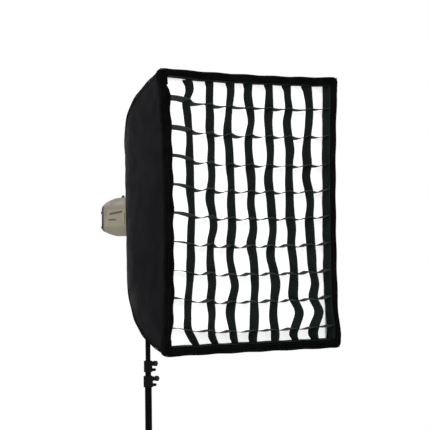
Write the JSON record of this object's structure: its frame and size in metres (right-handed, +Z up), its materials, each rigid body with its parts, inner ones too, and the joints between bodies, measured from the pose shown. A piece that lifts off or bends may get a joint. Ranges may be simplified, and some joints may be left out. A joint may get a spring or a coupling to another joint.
{
  "type": "softbox light on stand",
  "caption": "Rectangular softbox with an eggcrate grid on a studio flash head, held by a tilting bracket on a telescopic light stand with folding legs.",
  "frame": {"origin": "on the floor, under the middle of the object's bounding box; the stand's column stands 187 mm behind it", "axes": "+Z up, the softbox faces -Y, +X is to the right seen from in front of the softbox looking along +Y"},
  "size_m": [0.8148, 0.8562, 1.65],
  "materials": {
    "softbox_nylon": "satin",
    "rim_webbing": "matte",
    "grid_cloth": "matte",
    "diffuser_cloth": "matte",
    "baffle_cloth": "matte",
    "rod_fibre": "gloss",
    "black_rubber": "matte",
    "ring_metal": "satin",
    "adapter_metal": "satin",
    "casing_paint": "satin",
    "casing_trim": "matte",
    "flange_casting": "satin",
    "foot_casting": "satin",
    "dial_plastic": "matte",
    "sensor_plastic": "gloss",
    "nickel": "polished",
    "flash_glass": "gloss",
    "lamp_glass": "gloss",
    "dome_glass": "gloss",
    "capacitor_can": "satin",
    "fan_plastic": "matte",
    "latch_metal": "satin",
    "stand_tube": "satin",
    "stand_casting": "matte",
    "bracket_casting": "satin",
    "brace_steel": "satin",
    "knob_plastic": "matte",
    "plated_steel": "satin"
  },
  "bodies": {
    "root": {"lower_tube": "stand_tube", "lower_clamp_collar": "stand_casting", "lower_spider": "stand_casting"},
    "lower_clamp_knob": {"lower_clamp_knob": "knob_plastic"},
    "middle_section": {"middle_tube": "stand_tube", "upper_clamp_collar": "stand_casting"},
    "upper_clamp_knob": {"upper_clamp_knob": "knob_plastic"},
    "top_section": {"top_tube": "stand_tube", "spigot_stud": "plated_steel"},
    "bracket": {"bracket_socket": "bracket_casting", "tilt_bolt": "plated_steel"},
    "socket_knob": {"socket_knob": "knob_plastic"},
    "tilt_lever": {"tilt_lever": "knob_plastic"},
    "head": {"head_casing": "casing_paint", "rear_bezel": "casing_trim", "rear_panel": "casing_trim", "mains_inlet": "dial_plastic", "sync_socket": "nickel", "front_flange": "flange_casting", "flash_tube": "flash_glass", "modelling_lamp": "lamp_glass", "glass_dome": "dome_glass", "capacitors": "capacitor_can", "fan_frame": "fan_plastic", "head_foot": "foot_casting", "slave_sensor": "sensor_plastic", "ring_insert": "adapter_metal"},
    "power_dial": {"power_dial": "dial_plastic"},
    "modelling_dial": {"modelling_dial": "dial_plastic"},
    "rocker_switch": {"rocker_switch": "dial_plastic"},
    "test_button": {"test_button": "dial_plastic"},
    "fan_rotor": {"fan_rotor": "fan_plastic"},
    "release_lever": {"release_lever": "latch_metal"},
    "softbox": {"speed_ring": "ring_metal", "rods": "rod_fibre", "rod_tip_caps": "black_rubber", "panel_left": "softbox_nylon", "panel_right": "softbox_nylon", "panel_top": "softbox_nylon", "panel_bottom": "softbox_nylon", "rear_sleeve": "softbox_nylon", "front_rim": "rim_webbing", "inner_baffle": "baffle_cloth", "front_diffuser": "diffuser_cloth", "grid_border": "grid_cloth", "grid_vertical_strips": "grid_cloth", "grid_horizontal_strips": "grid_cloth"},
    "ring_lock_knob": {"ring_lock_knob": "knob_plastic"},
    "leg_collar": {"leg_collar": "stand_casting", "leg_pivot_pins": "nickel"},
    "leg_collar_knob": {"leg_collar_knob": "knob_plastic"},
    "leg_front": {"leg_front": "stand_tube", "foot_front": "black_rubber"},
    "brace_front": {"brace_front": "brace_steel"},
    "leg_right": {"leg_right": "stand_tube", "foot_right": "black_rubber"},
    "brace_right": {"brace_right": "brace_steel"},
    "leg_left": {"leg_left": "stand_tube", "foot_left": "black_rubber"},
    "brace_left": {"brace_left": "brace_steel"}
  },
  "joints": [
    {"name": "lower_clamp_turn", "type": "hinge", "parent": "root", "child": "lower_clamp_knob", "pos_m": [0, 0.18693, 0.732], "axis": [1, 0, 0], "range_deg": [0, 180]},
    {"name": "middle_section_slide", "type": "slide", "parent": "root", "child": "middle_section", "axis": [0, 0, 1], "range_m": [-0.008, 0.44]},
    {"name": "upper_clamp_turn", "type": "hinge", "parent": "middle_section", "child": "upper_clamp_knob", "pos_m": [0, 0.18693, 0.78], "axis": [1, 0, 0], "range_deg": [0, 180]},
    {"name": "top_section_slide", "type": "slide", "parent": "middle_section", "child": "top_section", "axis": [0, 0, 1], "range_m": [-0.24, 0.15]},
    {"name": "head_pan", "type": "hinge", "parent": "top_section", "child": "bracket", "pos_m": [0, 0.18693, 1.08], "axis": [0, 0, 1], "continuous": true},
    {"name": "socket_knob_turn", "type": "hinge", "parent": "bracket", "child": "socket_knob", "pos_m": [0, 0.18693, 1.086], "axis": [1, 0, 0], "range_deg": [0, 180]},
    {"name": "tilt_lever_turn", "type": "hinge", "parent": "bracket", "child": "tilt_lever", "pos_m": [0, 0.18693, 1.15], "axis": [1, 0, 0], "range_deg": [-25, 25]},
    {"name": "head_tilt", "type": "hinge", "parent": "bracket", "child": "head", "pos_m": [0, 0.18693, 1.15], "axis": [1, 0, 0], "range_deg": [-90, 35]},
    {"name": "power_dial_turn", "type": "hinge", "parent": "head", "child": "power_dial", "pos_m": [-0.026, 0.38693, 1.259], "axis": [0, 1, 0], "range_deg": [-140, 140]},
    {"name": "modelling_dial_turn", "type": "hinge", "parent": "head", "child": "modelling_dial", "pos_m": [-0.026, 0.38693, 1.226], "axis": [0, 1, 0], "range_deg": [-140, 140]},
    {"name": "rocker_tip", "type": "hinge", "parent": "head", "child": "rocker_switch", "pos_m": [0.015, 0.37493, 1.263], "axis": [1, 0, 0], "range_deg": [-10, 10]},
    {"name": "test_button_press", "type": "slide", "parent": "head", "child": "test_button", "axis": [0, -1, 0], "range_m": [0, 0.003], "stiffness_N_per_m": 400, "springref_m": -0.0005},
    {"name": "fan_spin", "type": "hinge", "parent": "head", "child": "fan_rotor", "pos_m": [0, 0.33893, 1.25], "axis": [0, 1, 0], "continuous": true},
    {"name": "bayonet_release", "type": "hinge", "parent": "head", "child": "release_lever", "pos_m": [0.061, 0.15493, 1.258], "axis": [0, 1, 0], "range_deg": [0, 30], "stiffness_Nm_per_rad": 0.05, "springref_deg": -5.73},
    {"name": "softbox_rotation", "type": "hinge", "parent": "head", "child": "softbox", "pos_m": [0, 0.12693, 1.25], "axis": [0, 1, 0], "range_deg": [-90, 90]},
    {"name": "ring_lock_turn", "type": "hinge", "parent": "softbox", "child": "ring_lock_knob", "pos_m": [0.09, 0.12693, 1.25], "axis": [1, 0, 0], "range_deg": [0, 180]},
    {"name": "leg_collar_slide", "type": "slide", "parent": "root", "child": "leg_collar", "axis": [0, 0, 1], "range_m": [0, 0.15611]},
    {"name": "leg_collar_clamp_turn", "type": "hinge", "parent": "leg_collar", "child": "leg_collar_knob", "pos_m": [0, 0.21693, 0.44926], "axis": [0, 1, 0], "range_deg": [0, 180]},
    {"name": "leg_front_fold", "type": "hinge", "parent": "leg_collar", "child": "leg_front", "pos_m": [0, 0.15693, 0.43626], "axis": [1, 0, 0], "range_deg": [-0.5, 40.5]},
    {"name": "brace_front_fold", "type": "hinge", "parent": "leg_front", "child": "brace_front", "pos_m": [0, -0.03399, 0.24535], "axis": [1, 0, 0], "range_deg": [-80.5, 0.5]},
    {"name": "leg_right_fold", "type": "hinge", "parent": "leg_collar", "child": "leg_right", "pos_m": [0.02598, 0.20193, 0.43626], "axis": [-0.5, 0.866, 0], "range_deg": [-0.5, 40.5]},
    {"name": "brace_right_fold", "type": "hinge", "parent": "leg_right", "child": "brace_right", "pos_m": [0.19132, 0.29739, 0.24535], "axis": [-0.5, 0.866, 0], "range_deg": [-80.5, 0.5]},
    {"name": "leg_left_fold", "type": "hinge", "parent": "leg_collar", "child": "leg_left", "pos_m": [-0.02598, 0.20193, 0.43626], "axis": [-0.5, -0.866, 0], "range_deg": [-0.5, 40.5]},
    {"name": "brace_left_fold", "type": "hinge", "parent": "leg_left", "child": "brace_left", "pos_m": [-0.19132, 0.29739, 0.24535], "axis": [-0.5, -0.866, 0], "range_deg": [-80.5, 0.5]}
  ],
  "couplings": [
    {"joint": "leg_front_fold", "follows": "leg_collar_slide", "rad_per_m": 4.4721},
    {"joint": "brace_front_fold", "follows": "leg_collar_slide", "rad_per_m": -8.9442},
    {"joint": "leg_right_fold", "follows": "leg_collar_slide", "rad_per_m": 4.4721},
    {"joint": "brace_right_fold", "follows": "leg_collar_slide", "rad_per_m": -8.9442},
    {"joint": "leg_left_fold", "follows": "leg_collar_slide", "rad_per_m": 4.4721},
    {"joint": "brace_left_fold", "follows": "leg_collar_slide", "rad_per_m": -8.9442}
  ]
}
